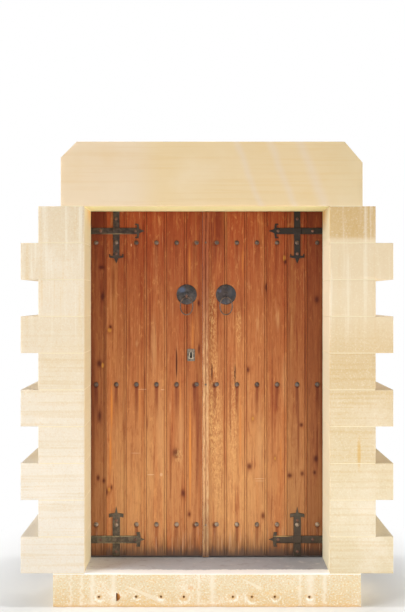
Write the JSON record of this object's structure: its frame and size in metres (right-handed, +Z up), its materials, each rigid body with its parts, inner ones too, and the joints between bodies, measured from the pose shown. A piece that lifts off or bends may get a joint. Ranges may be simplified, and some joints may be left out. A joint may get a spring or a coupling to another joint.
{
  "type": "double plank door with stone surround",
  "caption": "Double plank door with forged straps, studs and ring knockers, hung on pintles in a rebated stone surround with quoins, lintel and threshold.",
  "frame": {"origin": "middle of the underside of the threshold, halfway through the stones' depth", "axes": "+Z up; +Y into the building, away from the stone face; +X to the right of someone who faces the door"},
  "size_m": [1.99, 0.34, 2.485],
  "materials": {
    "quoin_stone": "sawn cream limestone with worn arrises",
    "lintel_stone": "smooth cream limestone",
    "sill_stone": "worn cream limestone",
    "board_wood": "oiled softwood, weathered",
    "strip_wood": "oiled softwood, worn pale",
    "ledge_wood": "oiled softwood",
    "frame_wood": "oiled softwood",
    "forged_iron": "forged, dark, waxed",
    "knocker_iron": "forged, dark, waxed",
    "escutcheon_steel": "dull, with a worn lip",
    "lock_steel": "black, semi-matt",
    "bolt_steel": "dull, worn"
  },
  "bodies": {
    "frame": {"threshold": "sill_stone", "lintel": "lintel_stone", "left_quoin_01": "quoin_stone", "left_quoin_02": "quoin_stone", "left_quoin_03": "quoin_stone", "left_quoin_04": "quoin_stone", "left_quoin_05": "quoin_stone", "left_quoin_06": "quoin_stone", "left_quoin_07": "quoin_stone", "left_quoin_08": "quoin_stone", "left_quoin_09": "quoin_stone", "left_quoin_10": "quoin_stone", "right_quoin_01": "quoin_stone", "right_quoin_02": "quoin_stone", "right_quoin_03": "quoin_stone", "right_quoin_04": "quoin_stone", "right_quoin_05": "quoin_stone", "right_quoin_06": "quoin_stone", "right_quoin_07": "quoin_stone", "right_quoin_08": "quoin_stone", "right_quoin_09": "quoin_stone", "right_quoin_10": "quoin_stone", "frame_head": "frame_wood", "left_frame_post": "frame_wood", "right_frame_post": "frame_wood", "left_pintles": "forged_iron", "right_pintles": "forged_iron"},
    "left_leaf": {"left_board_1": "board_wood", "left_board_2": "board_wood", "left_board_3": "board_wood", "left_board_4": "board_wood", "left_board_5": "board_wood", "left_board_6": "board_wood", "left_ledges": "ledge_wood", "left_studs": "forged_iron", "left_cross_straps": "forged_iron", "left_hinge_bands": "forged_iron", "left_knocker_plate": "knocker_iron", "escutcheon": "escutcheon_steel", "lock_case": "lock_steel"},
    "right_leaf": {"right_board_1": "board_wood", "right_board_2": "board_wood", "right_board_3": "board_wood", "right_board_4": "board_wood", "right_board_5": "board_wood", "right_board_6": "board_wood", "right_ledges": "ledge_wood", "right_studs": "forged_iron", "right_cross_straps": "forged_iron", "right_hinge_bands": "forged_iron", "right_knocker_plate": "knocker_iron", "meeting_strip": "strip_wood", "lock_keeper": "lock_steel", "bolt_guides": "forged_iron"},
    "left_knocker": {"left_knocker_ring": "knocker_iron"},
    "right_knocker": {"right_knocker_ring": "knocker_iron"},
    "lock_bolt": {"lock_bolt": "bolt_steel"},
    "top_bolt": {"top_bolt": "bolt_steel"},
    "bottom_bolt": {"bottom_bolt": "bolt_steel"}
  },
  "joints": [
    {"name": "left_leaf_hinge", "type": "hinge", "parent": "frame", "child": "left_leaf", "pos_m": [-0.7, 0.107, 1.165], "axis": [0, 0, 1], "range_deg": [0, 95]},
    {"name": "right_leaf_hinge", "type": "hinge", "parent": "frame", "child": "right_leaf", "pos_m": [0.7, 0.107, 1.165], "axis": [0, 0, -1], "range_deg": [0, 95]},
    {"name": "left_knocker_swing", "type": "hinge", "parent": "left_leaf", "child": "left_knocker", "pos_m": [-0.114, 0.019, 1.654], "axis": [-1, 0, 0], "range_deg": [0, 150]},
    {"name": "right_knocker_swing", "type": "hinge", "parent": "right_leaf", "child": "right_knocker", "pos_m": [0.109, 0.019, 1.654], "axis": [-1, 0, 0], "range_deg": [0, 150]},
    {"name": "lock_bolt_slide", "type": "slide", "parent": "left_leaf", "child": "lock_bolt", "axis": [1, 0, 0], "range_m": [0, 0.024]},
    {"name": "top_bolt_slide", "type": "slide", "parent": "right_leaf", "child": "top_bolt", "axis": [0, 0, 1], "range_m": [0, 0.022]},
    {"name": "bottom_bolt_slide", "type": "slide", "parent": "right_leaf", "child": "bottom_bolt", "axis": [0, 0, -1], "range_m": [0, 0.022]}
  ]
}
